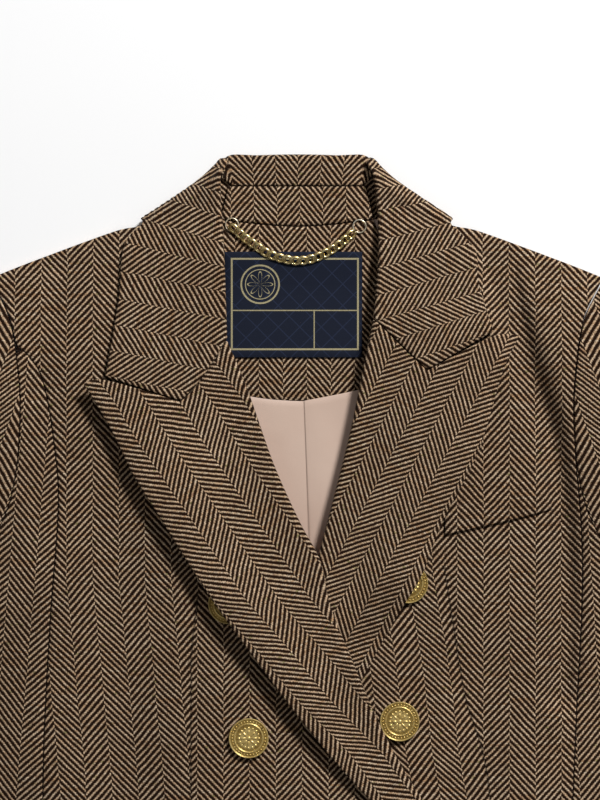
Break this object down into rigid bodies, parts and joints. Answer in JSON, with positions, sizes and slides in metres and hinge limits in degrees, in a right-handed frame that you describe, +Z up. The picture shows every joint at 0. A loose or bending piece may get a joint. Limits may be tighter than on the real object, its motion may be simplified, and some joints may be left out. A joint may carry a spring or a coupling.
{
  "type": "double-breasted blazer, laid flat",
  "caption": "Double-breasted peak-lapel blazer in herringbone tweed with domed metal buttons, laid flat front up, with collar, lining, neck label, hanger chain and hanging sleeves.",
  "frame": {"origin": "under the middle of the garment's box, on the surface that it lies on", "axes": "+X to the viewer's right (the wearer's left), +Y towards the collar, +Z up through the front"},
  "size_m": [0.8012, 0.727, 0.0332],
  "materials": {
    "tweed": "woven herringbone wool, matt with a slight nap",
    "lining": "satin lining, soft sheen",
    "label": "woven damask label, matt",
    "brass": "gilt, polished with darkened recesses"
  },
  "bodies": {
    "root": {"back": "tweed", "back_neck_facing": "tweed", "collar_stand": "tweed", "collar_fall": "tweed", "front_right": "tweed", "front_left": "tweed", "front_left_side": "tweed", "side_panel_right": "tweed", "side_panel_left": "tweed", "lapel_right": "tweed", "lapel_left": "tweed", "breast_welt": "tweed", "upper_sleeve_right": "tweed", "under_sleeve_right": "tweed", "upper_sleeve_left": "tweed", "under_sleeve_left": "tweed", "lining_back": "lining", "neck_label": "label", "hanger_chain": "brass", "hanger_ring_right": "brass", "hanger_ring_left": "brass", "button_upper_right": "brass", "button_middle_right": "brass", "button_lower_right": "brass", "button_upper_left": "brass", "button_middle_left": "brass", "button_lower_left": "brass"}
  },
  "joints": []
}
